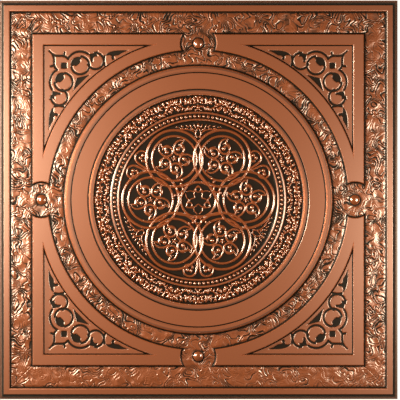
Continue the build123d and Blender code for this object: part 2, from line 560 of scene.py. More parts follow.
def hammered_height(x, y, settings):
    """Height and rubbing of the hammered ground; the rubbing holds painted light on the bottom side and
    painted shade round the bosses.

    A warped noise field is cut at even levels, and each level line becomes a groove
    whose width doesn't change, beside a ridge; broad noise adds the lumps. Groove and
    ridge are bells, exp(-(distance / half-width)^2), and the distance from a level line
    is the field's step over its slope. Near the walls and the bosses the ground falls to
    a low level; round each boss the rubbing falls too, patina in the dip and painted shade
    round the boss's foot. The bottom side is calmer than the others, and its rubbing is
    raised as painted light that makes that side lighter.
    """
    seed = settings.hammer_seed
    warp_x = x + WARP_SHIFT * lattice_noise(x, y, WARP_CELL, seed)
    warp_y = y + WARP_SHIFT * lattice_noise(x, y, WARP_CELL, seed + 1)
    phase = ripple_phase(warp_x, warp_y, seed)
    reach = 0.4
    slope_x = ripple_phase(warp_x + reach, warp_y, seed) - phase
    slope_y = ripple_phase(warp_x, warp_y + reach, seed) - phase
    slope = np.hypot(slope_x, slope_y) / reach
    off = (phase - np.floor(phase) - 0.5) / np.maximum(slope, LEAST_SLOPE)
    groove = np.exp(-((off / GROOVE_HALF) ** 2))
    ridge = np.exp(-(((off - RIDGE_OFFSET) / RIDGE_HALF) ** 2))

    bottom = smooth_step(-y, *BOTTOM_SIDE)
    lively = smooth_step(lattice_noise(x, y, LIVELY_CELL, seed + 4), *LIVELY_NOISE)
    lively = lively * (1.0 - BOTTOM_CALM * bottom)
    broad, fine = LUMP_CELLS
    lumps = lattice_noise(x, y, broad, seed + 5) + LUMP_FINE * lattice_noise(x, y, fine, seed + 6)
    lump_height = LUMP_GAIN * settings.hammer_lump / MM
    ripple_height = settings.hammer_line / MM * share(CALM_RIPPLE, lively)
    height = lump_height * lumps + ripple_height * (RIDGE_SHARE * ridge - GROOVE_SHARE * groove)

    edge = hammered_outline(x, y) - HAMMER_TUCK
    calm = smooth_step(edge, *EDGE_RISE)
    # Ring round each boss: the ground dips and its rubbing falls to patina, partly painted shade round the
    # boss's foot
    clear = smooth_step(boss_distance(x, y), BOSS_DOME_R, BOSS_DOME_R + BOSS_RING)
    z = FIELD_Z + settings.hammer_rise / MM * share(EDGE_SHARE, calm) + height * calm
    z = np.maximum(z - BOSS_RING_DROP * (1.0 - clear), FIELD_Z + LEAST_HEIGHT)
    # The bottom side's added rubbing is painted light: it makes that side lighter, as if more brightly lit
    wear_and_painted_light = EVEN_RUB + BOTTOM_PAINTED_LIGHT * bottom + LUMP_RUB * lumps + RIDGE_RUB * ridge
    wear_and_painted_light = wear_and_painted_light - GROOVE_RUB * groove * share(CALM_GROOVE, lively)
    rubbed = wear_and_painted_light * smooth_step(edge, *EDGE_RUB) * clear
    return z, np.clip(rubbed, 0.0, 1.0)


class TILE_OT_hammered_ground(Operator):
    """Lay the hammered ground between the rim, the corner frames and the medallion, one slab a side"""

    bl_idname = "tile.hammered_ground"
    bl_label = "Hammered Ground"

    def execute(self, context):
        settings = context.scene.tile_relief
        copper = finish_material("hammered_copper")
        step = settings.hammer_step / MM
        across = (-RIM_INNER_HALF, RIM_INNER_HALF + step)
        outwards = (HAMMER_START, RIM_INNER_HALF + step)
        for quarters, side in enumerate(("top", "left", "bottom", "right")):

            def surface(x, y, turn=1j**quarters):
                world = (x + 1j * y) * turn
                return hammered_height(world.real, world.imag, settings)

            points, loops, sizes, rubbed = slab_shell(
                across, outwards, step, hammered_side, surface, FIELD_Z - SINK
            )
            placed = quarter_turned(points, quarters)
            add_piece(f"hammered_ground_{side}", placed, loops, sizes, rubbed, copper)
        return {"FINISHED"}


# Spandrel panels

# Scrollwork of one spandrel, as (x, y) from the tile's centre in the first quarter, y > x; x > y mirrors it
BIG_DISC = (178.2, 203.4, 13.6)
BIG_DISC_ARC = (95.0, 350.0)
BIG_BAND_R = 20.9
BIG_BAND_ARC = (28.0, 124.0)
SMALL_DISC = (155.1, 210.0, 12.3)
SMALL_DISC_ARC = (84.0, 338.0)
SCROLL_LINES = (
    # edge of the corner leaf, from its tip to the waist
    ((225.6, 224.9), (219.2, 219.2), (212.3, 217.8), (204.4, 217.8), (200.0, 216.2), (196.6, 213.2)),
    # spike on the corner leaf
    ((204.6, 217.6), (202.6, 219.8), (202.0, 222.6)),
    # leaf stalk beyond the small disc
    ((141.6, 217.2), (142.4, 210.6), (141.2, 203.6)),
)
SCROLL_POCKETS = (
    # comma in the big disc
    ((191.1, 199.4), (193.1, 204.4), (191.6, 210.6), (187.7, 214.9), (181.6, 216.7), (175.7, 215.2),
     (177.7, 211.8), (177.4, 208.7), (180.8, 204.4), (184.6, 202.1), (188.2, 202.8)),
    # comma between the big disc's band and the small disc
    ((166.4, 220.2), (159.0, 222.0), (154.8, 224.6), (150.8, 225.0), (152.8, 220.4), (151.6, 216.6),
     (156.4, 216.2), (158.4, 212.2), (158.6, 208.0), (161.6, 207.6), (163.6, 213.4), (164.4, 218.0)),
    # leaf
    ((141.0, 217.4), (137.0, 222.2), (130.0, 225.0), (120.0, 226.4), (105.0, 226.2), (113.0, 222.6),
     (120.4, 218.4), (125.4, 217.6), (127.0, 215.4), (125.6, 213.2), (129.4, 210.8), (131.4, 214.4),
     (131.8, 217.6), (136.2, 218.4)),
)
# Bowed square hole, the wedge beyond it and the three-sided pocket beside the arc of the frame
HOLE_CENTRE = 202.9
HOLE_HALF = 5.2
HOLE_BOW = 0.1
WEDGE_TIP = (226.0, 226.0)
WEDGE_SIDE = (213.4, 218.8)
WEDGE_NOTCH = (216.8, 216.8)
TRIANGLE_CORNER = (184.3, 184.3)
TRIANGLE_TIP = (160.4, 190.7)
TRIANGLE_ARC_R = 250.0
# Half the width of a cut line, and the widths of the slopes at its sides and at a pocket's edge
CUT_HALF = 2.1
CUT_SLOPE = 0.95
POCKET_SLOPE = 0.9
# Plate: where it starts, its tuck into the walls, its corners, its edge and what is left of it in a pocket
PLATE_START = 60.0
PLATE_TUCK = 0.15
PLATE_CORNER = 1.0
PLATE_EDGE = 0.9
PLATE_LEFT = 0.08
# How fast the rubbing fades with depth
CUT_FADE = 1.15


def line_distance(place, line):
    """Distance from each place to a line of plan points."""
    start, span = line[:-1], np.diff(line)
    nearest = np.full(place.shape, np.inf)
    for a, d in zip(start, span):
        t = np.clip(((place - a) * np.conj(d)).real / abs(d) ** 2, 0.0, 1.0)
        nearest = np.minimum(nearest, np.abs(place - a - t * d))
    return nearest


def inner_distance(place, ring):
    """Distance from each place to a closed ring of plan points, positive inside it."""
    loop = np.append(ring, ring[0])
    winding = np.zeros(place.shape)
    for a, b in zip(loop[:-1], loop[1:]):
        winding += np.angle((b - place) / (a - place))
    return np.where(np.abs(winding) > np.pi, 1.0, -1.0) * line_distance(place, loop)


def spandrel_outline(x, y):
    """Distance in from the edge of one spandrel plate, in the quarter where x and y are positive."""
    spread = (FRAME_Z - SPANDREL_Z) * WALL_DRAFT
    straight = FRAME_HALF - FRAME_BAND - spread + PLATE_TUCK
    arc = ARC_INNER_R + ARC_BAND + spread - PLATE_TUCK
    corner = smooth_least(straight - x, straight - y, PLATE_CORNER)
    return smooth_least(corner, np.hypot(x, y) - arc, PLATE_CORNER)


def arc_distance(place, disc, radius, start, end):
    """Distance from each place to an arc about a disc's centre, between two angles in degrees."""
    step = 6.0
    turns = np.radians(np.linspace(start, end, int((end - start) / step)))
    return line_distance(place, complex(*disc[:2]) + radius * np.exp(1j * turns))


def scroll_depth(x, y):
    """How deep the scrollwork is cut, 0 on the plate and 1 on the floor of a pocket.

    A line is cut to (half its width - distance from it) / slope, and a pocket to
    (distance in from its edge) / slope. The deeper one counts, kept between 0 and 1.
    """
    place = np.where(y >= x, x + 1j * y, y + 1j * x)
    lines = [line_distance(place, smooth_path(points)) for points in SCROLL_LINES]
    lines.append(arc_distance(place, BIG_DISC, BIG_DISC[2], *BIG_DISC_ARC))
    lines.append(arc_distance(place, BIG_DISC, BIG_BAND_R, *BIG_BAND_ARC))
    lines.append(arc_distance(place, SMALL_DISC, SMALL_DISC[2], *SMALL_DISC_ARC))
    cut = (CUT_HALF - np.minimum.reduce(lines)) / CUT_SLOPE

    pockets = [inner_distance(place, smooth_path(points, closed=True)) for points in SCROLL_POCKETS]
    wedge = [complex(*corner) for corner in (WEDGE_TIP, WEDGE_SIDE, WEDGE_NOTCH, WEDGE_SIDE[::-1])]
    pockets.append(inner_distance(place, np.array(wedge)))
    off = place - HOLE_CENTRE * (1 + 1j)
    off_x, off_y = np.abs(off.real), np.abs(off.imag)
    pockets.append(HOLE_HALF - np.maximum(off_x, off_y) - HOLE_BOW * np.minimum(off_x, off_y))
    corner, tip = complex(*TRIANGLE_CORNER), complex(*TRIANGLE_TIP)
    bar = (corner - tip) / abs(corner - tip)
    below_bar = -((place - corner) * np.conj(1j * bar)).real
    pockets.append(np.minimum(below_bar, np.abs(place) - TRIANGLE_ARC_R))
    pocket = np.maximum.reduce(pockets) / POCKET_SLOPE
    return np.clip(np.maximum(cut, pocket), 0.0, 1.0)


class TILE_OT_spandrel_panels(Operator):
    """Set a plate with cut scrollwork into each of the four spandrel pockets"""

    bl_idname = "tile.spandrel_panels"
    bl_label = "Spandrel Panels"

    def execute(self, context):
        settings = context.scene.tile_relief
        copper = finish_material("panel_copper")
        rise = settings.plate_rise / MM
        step = settings.plate_step / MM

        def surface(x, y):
            depth = scroll_depth(x, y)
            edge = spandrel_outline(x, y)
            z = SPANDREL_Z + rise - (rise - PLATE_LEFT) * depth
            return z, np.clip(1.0 - CUT_FADE * depth, 0.0, 1.0) * smooth_step(edge, 0.0, PLATE_EDGE)

        span = (PLATE_START, FRAME_HALF)
        points, loops, sizes, rubbed = slab_shell(
            span, span, step, spandrel_outline, surface, SPANDREL_Z - SINK, draft=0.0
        )
        for quarters, corner in enumerate(("top_right", "top_left", "bottom_left", "bottom_right")):
            placed = quarter_turned(points, quarters)
            add_piece(f"spandrel_panel_{corner}", placed, loops, sizes, rubbed, copper)
        return {"FINISHED"}


# Rosette

# One picture step in millimetres; the lines of the rosette's ornament and of the leaf ring are in these steps
PHOTO_MM = 1.515
SIXTHS = np.arange(0, 360, 60)
THIRDS = np.arange(0, 360, 120)
FIFTHS = np.arange(0, 360, 72)
HOOP_CIRCLE_R = 72.2
HOOP_OUTER_R = 42.8
HOOP_INNER_R = 33.8
EYE_R = 26.6
CURL_CIRCLE_R = 17.9
CURL_TURN = 13.0
HOOP_STEPS = 144
# Turns round one hoop, from its outer side, and whether it runs over (1), level (0) or under (-1) there
HOOP_TURNS = (-180, -152.6, -120, -86.6, -50, 50, 86.6, 120, 152.6, 180)
HOOP_OVER = (0, 1, 0, -1, 0, 0, 1, 0, -1, 0)
# Width and rise of the inner ring as shares of the outer ring's
INNER_WIDTH = 0.86
INNER_RISE = 0.85


class TILE_OT_rosette_hoops(Operator):
    """Weave the six hoops of the rosette, each a strong outer ring and a fine inner ring"""

    bl_idname = "tile.rosette_hoops"
    bl_label = "Rosette Hoops"

    def execute(self, context):
        settings = context.scene.tile_relief
        width, rise, weave = settings.strand_width / MM, settings.strand_rise / MM, settings.weave_rise / MM
        local = np.degrees(np.angle(circle(0.0, 1.0, HOOP_STEPS)))
        over = eased(local, HOOP_TURNS, HOOP_OVER)
        outer = turned(circle(HOOP_CIRCLE_R, HOOP_OUTER_R, HOOP_STEPS), SIXTHS)
        inner = turned(circle(HOOP_CIRCLE_R, HOOP_INNER_R, HOOP_STEPS), SIXTHS)
        low = ROSETTE_Z - SINK
        shells = [
            strand_shell(outer, width, ROSETTE_Z + rise + weave * over, low, closed=True),
            strand_shell(inner, INNER_WIDTH * width, ROSETTE_Z + INNER_RISE * rise, low, closed=True),
        ]
        add_piece("rosette_hoops", *join_shells(shells), finish_material("ornament_copper"))
        return {"FINISHED"}


# One curl, in picture steps from its middle: (clockwise, outwards)
CURL_RING = (
    (0.3, 8.5), (-3.2, 7.3), (-5.5, 4.6), (-6.3, 0.8), (-5.6, -3.2), (-3.0, -6.2), (0.6, -6.9), (3.7, -5.3),
    (4.9, -2.0),
)
CURL_FLAME = ((0.4, 8.7), (-0.5, 6.6), (-0.9, 4.6), (0.3, 3.0), (2.3, 2.0), (4.0, 0.3), (4.7, -2.2))
CURL_TONGUE = ((1.2, 2.2), (-0.5, 0.9), (-1.3, -1.4))
CURL_SPUR = ((-0.4, 2.9), (-2.0, 2.9), (-3.6, 2.0))
FLAME_WIDTH = (0.3, 0.9, 1.26, 1.8, 2.04, 1.62, 0.9)
FLAME_RISE = [0.45 + 0.65 * width / max(FLAME_WIDTH) for width in FLAME_WIDTH]
# Strands of a curl: line, half-widths along it in picture steps, shares of the curl's rise, and steps across
CURL_STRANDS = (
    (CURL_RING, (0.4, 1.0, 1.1, 1.1, 1.15, 1.2), (0.5, 0.75, 0.8, 0.85), 7),
    (CURL_FLAME, FLAME_WIDTH, FLAME_RISE, 8),
    (CURL_TONGUE, (1.3, 1.35, 1.0), (1.1, 1.1), 7),
    (CURL_SPUR, (0.9, 0.75, 0.3), (1.0, 0.8, 0.4), 6),
)
# Rise of the curls in millimetres; the ball's place and radius in picture steps, and its share of the rise
CURL_RISE = 2.3
CURL_BALL = (-1.3, -2.1)
CURL_BALL_R = 2.3
CURL_BALL_RISE = 1.5
# Floret in the middle of a hoop: five petals, turned so many radians from the curls, round a ball. Its plan
# is in picture steps and its rises are in millimetres
PETAL_SPAN = (0.5, 3.1)
PETAL_WIDTH = 0.85
PETAL_TURN = 0.63
PETAL_RISE = 1.7
FLORET_BALL_R = 0.9
FLORET_BALL_RISE = 2.2
# One of a pair of curls beside an axis: (away from the axis, outwards from the middle of the rosette)
PAIR_TURNS = THIRDS - 60
PAIR_LOOP = (
    (0.4, 58.0), (1.2, 62.8), (1.5, 67.8), (2.5, 72.8), (5.7, 76.0), (10.0, 76.2), (13.7, 73.8),
    (14.8, 69.9), (13.2, 66.2), (9.8, 64.6), (6.6, 65.8), (5.4, 68.6),
)
PAIR_LOOP_WIDTH = (0.84, 1.08, 1.2, 1.2, 1.14, 1.08, 1.08, 1.08, 1.08, 1.2, 1.44)
PAIR_BALLS = ((7.3, 70.9), (10.9, 70.0))
PAIR_BALL_R = 2.0
PAIR_BALL_RISE = 3.0


def curl_path(points, per_span=5):
    """Smooth line through points given as (clockwise, outwards), as plan points that look along +X."""
    line = smooth_path(points, per_span=per_span)
    return line.imag - 1j * line.real


def along(values, steps):
    """Values spread evenly along a line of so many steps."""
    return np.interp(np.linspace(0.0, 1.0, steps), np.linspace(0.0, 1.0, len(values)), values)


def mirror_pair(line):
    """A line of plan points and its mirror image beyond the upright axis."""
    return line, -np.conj(line)


def curl_shells(centre, heading, foot):
    """One flame-tipped curl about each centre, its tip along its heading.

    A thin line leaves the tip and runs round the ring; a thick flame comes down from
    the tip to the shoulder, with a tongue that ends in a ball and a short spur.
    """
    low = foot - SINK
    shells = []
    for points, widths, rises, around in CURL_STRANDS:
        line = curl_path(points)
        path = centre[:, None] + PHOTO_MM * heading[:, None] * line
        crest = foot + CURL_RISE * along(rises, line.size)
        shells.append(strand_shell(path, PHOTO_MM * along(widths, line.size), crest, low, around=around))
    clockwise, outwards = CURL_BALL
    balls = centre + heading * PHOTO_MM * complex(outwards, -clockwise)
    shells.append(dome_shell(balls, CURL_BALL_R * PHOTO_MM, foot + CURL_BALL_RISE * CURL_RISE, low))
    return shells


class TILE_OT_rosette_curls(Operator):
    """Fill each hoop with five curls round a floret, and set pairs of curls between hoops and bead row"""

    bl_idname = "tile.rosette_curls"
    bl_label = "Rosette Curls"

    def execute(self, context):
        foot, low = ROSETTE_Z, ROSETTE_Z - SINK
        hoop_turn = np.exp(1j * np.radians(SIXTHS))
        hoops = HOOP_CIRCLE_R * hoop_turn
        fifths = np.exp(1j * np.radians(CURL_TURN + FIFTHS))
        outward = (hoop_turn[:, None] * fifths).ravel()
        middles = np.repeat(hoops, len(fifths))
        shells = curl_shells(middles + outward * CURL_CIRCLE_R, outward, foot)

        petal, petal_width = lobe(*PETAL_SPAN, PETAL_WIDTH, steps=7)
        petals = middles[:, None] + outward[:, None] * np.exp(1j * PETAL_TURN) * petal * PHOTO_MM
        shells.append(strand_shell(petals, petal_width * PHOTO_MM, foot + PETAL_RISE, low, around=6))
        ball = dome_shell(hoops, FLORET_BALL_R * PHOTO_MM, foot + FLORET_BALL_RISE, low, rows=4, columns=10)
        shells.append(ball)

        loop = smooth_path(PAIR_LOOP, per_span=5)
        width = PHOTO_MM * along(PAIR_LOOP_WIDTH, loop.size)
        balls = np.array([complex(*ball) for ball in PAIR_BALLS])
        for one_loop, two_balls in zip(mirror_pair(loop), mirror_pair(balls)):
            paths = turned(one_loop * PHOTO_MM, PAIR_TURNS)
            shells.append(strand_shell(paths, width, foot + CURL_RISE, low, around=7))
            centres = turned(two_balls * PHOTO_MM, PAIR_TURNS).ravel()
            shells.append(dome_shell(centres, PAIR_BALL_R * PHOTO_MM, foot + PAIR_BALL_RISE, low))
        add_piece("rosette_curls", *join_shells(shells), finish_material("ornament_copper"))
        return {"FINISHED"}


# Foliage in three lunettes between hoops and bead row: lobes beside its axis, as start, end and half-width
LUNETTE_LOBES = (
    ((0.9, 72.2), (0.6, 76.6), 0.9),
    ((2.6, 71.4), (4.6, 75.8), 1.0),
    ((3.4, 69.2), (7.6, 71.0), 1.0),
    ((6.6, 71.4), (8.8, 75.4), 0.95),
    ((9.2, 72.0), (13.0, 74.6), 0.9),
    ((10.0, 70.6), (13.6, 71.2), 0.7),
    ((14.2, 72.6), (18.0, 73.8), 0.85),
    ((15.0, 71.2), (18.6, 71.2), 0.65),
    ((19.4, 72.2), (23.0, 72.4), 0.75),
)
LUNETTE_BOW = 0.06
LUNETTE_STEM = ((1.6, 62.0), (3.4, 66.8), (7.2, 69.4), (12.6, 70.3), (18.4, 70.2), (24.6, 70.0))
# Half-width and rise of the stem and of the drop's outline, in millimetres
STEM_SECTION = (1.0, 1.7)
DROP_SECTION = (1.1, 2.0)
# Rise of the lobes in millimetres, and the share of it at their tips
LUNETTE_RISE = 2.1
LUNETTE_EDGE = 0.4
# Drop: its distance from the rosette's middle, its half-width and half-length, and how much its tip narrows
DROP_MIDDLE = 67.2
DROP_HALF = (2.5, 4.3)
DROP_TAPER = 0.3


class TILE_OT_rosette_lunettes(Operator):
    """Fill the three lunettes between the hoops and the bead row with a teardrop and leafy stems"""

    bl_idname = "tile.rosette_lunettes"
    bl_label = "Rosette Lunettes"

    def execute(self, context):
        foot, low = ROSETTE_Z, ROSETTE_Z - SINK
        turn = circle(0.0, 1.0, 28)
        half_width, half_length = DROP_HALF
        drop = half_width * turn.real * (1.0 - DROP_TAPER * turn.imag)
        drop = drop + 1j * (DROP_MIDDLE + half_length * turn.imag)
        width, rise = DROP_SECTION
        drops = turned(drop * PHOTO_MM, THIRDS)
        shells = [strand_shell(drops, width, foot + rise, low, closed=True, around=6)]
        for stem in mirror_pair(smooth_path(LUNETTE_STEM)):
            width, rise = STEM_SECTION
            shells.append(strand_shell(turned(stem * PHOTO_MM, THIRDS), width, foot + rise, low, around=6))
        for start, end, width in LUNETTE_LOBES:
            path, half = lobe(complex(*start), complex(*end), width, LUNETTE_BOW)
            crest = foot + LUNETTE_RISE * share(LUNETTE_EDGE, half / half.max())
            for leaf in mirror_pair(path):
                leaves = turned(leaf * PHOTO_MM, THIRDS)
                shells.append(strand_shell(leaves, half * PHOTO_MM, crest, low, around=6))
        add_piece("rosette_lunettes", *join_shells(shells), finish_material("ornament_copper"))
        return {"FINISHED"}


# Lines of the eye of the rosette, in picture steps from its middle
TRIANGLE_R = 27.4
TRIANGLE_BOW = 2.7
KNOB_PLACE = 21.4
KNOB_R = 3.1
RINGLET_PLACE = 10.2
RINGLET_R = 2.6
STAR_CAP = (
    (-12.0, 8.0), (-7.6, 8.9), (-4.8, 8.3), (-2.7, 11.2), (0.0, 13.8), (2.7, 11.2), (4.8, 8.3), (7.6, 8.9),
    (12.0, 8.0),
)
STAR_POINT = ((-7.4, -6.2), (-3.6, -7.0), (0.0, -4.4), (3.6, -7.0), (7.4, -6.2))
# Balls on the hoops round the eye: turn in degrees, repeated by thirds of a circle, and distance
HOOP_BALLS = ((9.0, 25.2), (57.5, 25.2), (17.0, 23.4), (49.0, 23.6))
HOOP_BALL_R = 1.6
HOOP_BALL_RISE = 4.2


class TILE_OT_rosette_knot(Operator):
    """Lay the eye of the rosette: its ring, the bowed triangle, the knobs and the star knot"""

    bl_idname = "tile.rosette_knot"
    bl_label = "Rosette Knot"

    def execute(self, context):
        foot, low = ROSETTE_Z, ROSETTE_Z - SINK
        upside = THIRDS + 180
        s = np.linspace(-1.0, 1.0, 49)
        half_side, side_place = TRIANGLE_R * math.sin(math.radians(60)), TRIANGLE_R / 2.0
        side = half_side * s + 1j * (side_place + TRIANGLE_BOW * (1.0 - s * s))
        rings = (
            # path in millimetres, half-width and rise
            (circle(0.0, EYE_R, 120), 1.9, 2.1),
            (turned(circle(KNOB_PLACE * 1j, KNOB_R, 28) * PHOTO_MM, upside), 1.5, 4.0),
            (turned(circle(RINGLET_PLACE * 1j, RINGLET_R, 28) * PHOTO_MM, THIRDS), 0.95, 2.1),
        )
        lines = (
            # path in picture steps, turns, half-width, rise and steps across
            (side, upside, 1.7, 3.1, 8),
            (smooth_path(STAR_CAP), THIRDS, 1.05, 1.9, 6),
            (smooth_path(STAR_POINT), THIRDS, 1.0, 1.7, 6),
        )
        shells = [strand_shell(path, width, foot + rise, low, closed=True) for path, width, rise in rings]
        for path, turns, width, rise, around in lines:
            paths = turned(path * PHOTO_MM, turns)
            shells.append(strand_shell(paths, width, foot + rise, low, around=around))
        for angle, distance in HOOP_BALLS:
            centres = distance * PHOTO_MM * np.exp(1j * np.radians(angle + THIRDS))
            shells.append(dome_shell(centres, HOOP_BALL_R * PHOTO_MM, foot + HOOP_BALL_RISE, low))
        add_piece("rosette_knot", *join_shells(shells), finish_material("ornament_copper"))
        return {"FINISHED"}


# Floral ring, beads and bosses

# Middle of the ring in picture steps from the tile's centre, and turns of its twelve tents
RING_MIDDLE = 96.0
TENTS = 15.0 + np.arange(0, 360, 30)


def ring_place(dx, r):
    """Plan points for places along the floral ring: dx along it and r out, both in picture steps."""
    return r * PHOTO_MM * np.exp(1j * (dx / RING_MIDDLE))


# One half of the ring's leaf motif, from the middle of its tent: lobes as start, end, half-width and bow
LEAF_LOBES = (
    # leaf that hangs in the tent
    ((-0.8, 96.2), (-5.6, 91.0), 1.5, 0.05),
    ((-2.2, 94.0), (-7.2, 92.4), 1.1, 0.1),
    ((-3.2, 93.0), (-3.6, 89.6), 1.1, -0.1),
    ((-1.9, 94.6), (-1.7, 91.4), 0.8, 0.0),
    # leaf that leans out beside the apex
    ((-1.4, 97.4), (-6.4, 102.4), 1.6, -0.12),
    ((-2.4, 98.0), (-8.0, 98.2), 1.35, 0.1),
    ((-2.2, 98.8), (-2.9, 103.0), 1.2, 0.1),
    # thin stalk between the leaves
    ((-8.0, 96.2), (-10.8, 103.2), 0.95, -0.12),
    ((-7.9, 99.8), (-8.2, 103.6), 0.9, 0.1),
    ((-9.6, 99.0), (-12.0, 99.6), 0.7, 0.1),
    # five-lobed leaf
    ((-14.6, 96.4), (-18.2, 103.0), 1.6, 0.06),
    ((-14.6, 96.4), (-13.2, 103.0), 1.6, -0.06),
    ((-14.6, 98.4), (-19.4, 99.4), 1.4, 0.1),
    ((-14.8, 98.2), (-18.8, 95.8), 1.3, -0.05),
    ((-14.4, 98.0), (-11.2, 95.7), 1.3, 0.05),
    # three-lobed leaf below it
    ((-15.0, 89.7), (-15.3, 94.6), 1.7, 0.0),
    ((-15.2, 90.2), (-19.6, 93.6), 1.35, 0.1),
    ((-15.0, 90.2), (-11.2, 92.8), 1.2, -0.1),
    # spray on the line between two tents
    ((-25.0, 96.4), (-25.0, 104.0), 1.0, 0.0),
    ((-25.0, 90.4), (-25.0, 95.4), 1.5, 0.0),
    ((-24.6, 91.0), (-20.8, 89.4), 0.8, -0.12),
    ((-23.6, 96.8), (-19.6, 95.8), 1.15, 0.15),
    ((-21.2, 97.4), (-20.4, 103.0), 1.1, 0.14),
    ((-24.2, 101.4), (-21.8, 103.6), 0.9, 0.1),
    ((-23.2, 93.8), (-20.4, 91.8), 0.9, 0.1),
    # small leaves that fill the ground
    ((-10.6, 93.2), (-7.8, 89.6), 0.85, 0.12),
    ((-11.2, 91.4), (-11.6, 88.9), 0.8, 0.0),
    ((-5.2, 95.6), (-8.4, 94.6), 0.8, 0.1),
    ((-18.4, 90.6), (-20.6, 94.4), 0.75, -0.1),
    ((-0.5, 99.8), (-0.9, 103.8), 0.95, 0.06),
    ((-22.4, 99.9), (-17.8, 100.9), 0.8, 0.1),
)
# How much fuller than their lobes the leaves are, and the share of their rise at the tips
LEAF_FULLNESS = 1.25
LEAF_EDGE = 0.35
# Stem of a tent from its apex: places along the ring at shares of its length, top, drop and half-width
STEM_SHARES = (0.0, 0.45, 1.0)
STEM_ACROSS = (-3.0, -8.2, -13.4)
STEM_TOP = 97.6
STEM_DROP = 8.0
STEM_HALF = 0.8
STEM_RISE = 0.85
# Small open ring beside the spray between two tents
EYELET = (-23.0, 99.0)
EYELET_R = 1.55
EYELET_HALF = 0.5
EYELET_RISE = 0.7
# Ball on a tent's apex
APEX_R = 98.2
APEX_BALL_R = 1.3
APEX_BALL_RISE = 1.05


class TILE_OT_floral_ring(Operator):
    """Carve the leaf ring: twelve tents of stems, with leaves in and between them, alike on both sides"""

    bl_idname = "tile.floral_ring"
    bl_label = "Floral Ring"

    def execute(self, context):
        settings = context.scene.tile_relief
        foot, low, rise = FLORAL_Z, FLORAL_Z - SINK, settings.leaf_rise / MM
        paths, widths = [], []
        for start, end, width, bow in LEAF_LOBES:
            path, half = lobe(complex(*start), complex(*end), width, bow)
            for leaf in mirror_pair(path):
                paths.append(turned(ring_place(leaf.real, leaf.imag), TENTS))
                widths.append(np.tile(LEAF_FULLNESS * half * PHOTO_MM, (len(TENTS), 1)))
        paths, widths = np.concatenate(paths), np.concatenate(widths)
        crests = foot + rise * share(LEAF_EDGE, widths / widths.max(axis=1, keepdims=True))
        shells = [strand_shell(paths, widths, crests, low, around=6)]

        s = np.linspace(0.0, 1.0, 18)
        stem = eased(s, STEM_SHARES, STEM_ACROSS) + 1j * (STEM_TOP - STEM_DROP * s**1.25)
        for half_tent in mirror_pair(stem):
            stems = turned(ring_place(half_tent.real, half_tent.imag), TENTS)
            shells.append(strand_shell(stems, STEM_HALF * PHOTO_MM, foot + STEM_RISE * rise, low, around=6))
        eyelet = circle(complex(*EYELET), EYELET_R, 16)
        for ring in (eyelet, eyelet - 2.0 * EYELET[0]):
            eyelets = turned(ring_place(ring.real, ring.imag), TENTS)
            crest = foot + EYELET_RISE * rise
            shells.append(strand_shell(eyelets, EYELET_HALF * PHOTO_MM, crest, low, closed=True, around=5))
        apexes = turned(ring_place(0.0, np.array([APEX_R])), TENTS).ravel()
        crest = foot + APEX_BALL_RISE * rise
        shells.append(dome_shell(apexes, APEX_BALL_R * PHOTO_MM, crest, low, rows=4, columns=12))
        add_piece("floral_ring", *join_shells(shells), finish_material("ornament_copper"))
        return {"FINISHED"}


class TILE_OT_bosses(Operator):
    """Round off the four bosses between the corner frames"""

    bl_idname = "tile.bosses"
    bl_label = "Bosses"

    def execute(self, context):
        centres = circle(0.0, BOSS_OFFSET, 4)
        shell = dome_shell(centres, BOSS_DOME_R, BOSS_DOME_Z, FIELD_Z - SINK, rows=12, columns=40)
        add_piece("bosses", *shell, finish_material("ornament_copper"))
        return {"FINISHED"}


class TILE_OT_bead_row(Operator):
    """Set the row of beads in its channel between the two ridges"""

    bl_idname = "tile.bead_row"
    bl_label = "Bead Row"

    def execute(self, context):
        settings = context.scene.tile_relief
        radius = settings.bead_radius / MM
        centres = circle(0.0, BEAD_R, settings.bead_count)
        shell = dome_shell(centres, radius, BEAD_Z + radius, BEAD_Z - SINK, rows=5, columns=12)
        add_piece("bead_row", *shell, finish_material("ornament_copper"))
        return {"FINISHED"}


# Finishes


def socket_group(name, inputs, outputs):
    """Empty shader node group with named sockets; inputs are (name, type, default)."""
    group = bpy.data.node_groups.new(name, "ShaderNodeTree")
    for label, kind, default in inputs:
        socket = group.interface.new_socket(label, in_out="INPUT", socket_type=kind)
        socket.default_value = default
    for label, kind in outputs:
        group.interface.new_socket(label, in_out="OUTPUT", socket_type=kind)
    entry = group.nodes.new("NodeGroupInput")
    leave = group.nodes.new("NodeGroupOutput")
    return group, entry, leave


def add_node(tree, kind, links=(), **settings):
    """Node of a kind with its settings, and links given as (socket, source or value)."""
    node = tree.nodes.new(kind)
    for key, value in settings.items():
        setattr(node, key, value)
    for socket, source in links:
        if isinstance(source, bpy.types.NodeSocket):
            tree.links.new(source, node.inputs[socket])
        else:
            node.inputs[socket].default_value = source
    return node


def math_node(tree, operation, first, second=0.0):
    """Output of one Math node."""
    return add_node(tree, "ShaderNodeMath", ((0, first), (1, second)), operation=operation).outputs[0]


def ramp_node(tree, value, low, high, to_low=0.0, to_high=1.0):
    """Output of a smooth Map Range node."""
    return add_node(
        tree, "ShaderNodeMapRange",
        (("Value", value), ("From Min", low), ("From Max", high), ("To Min", to_low), ("To Max", to_high)),
        interpolation_type="SMOOTHSTEP",
    ).outputs["Result"]


def blend_node(tree, factor, first, second):
    """Output of a Mix node for numbers."""
    return add_node(tree, "ShaderNodeMix", ((0, factor), (2, first), (3, second))).outputs[0]


def colour_node(tree, factor, first, second):
    """Output of a Mix node for colours."""
    links = ((0, factor), (6, first), (7, second))
    return add_node(tree, "ShaderNodeMix", links, data_type="RGBA").outputs[2]


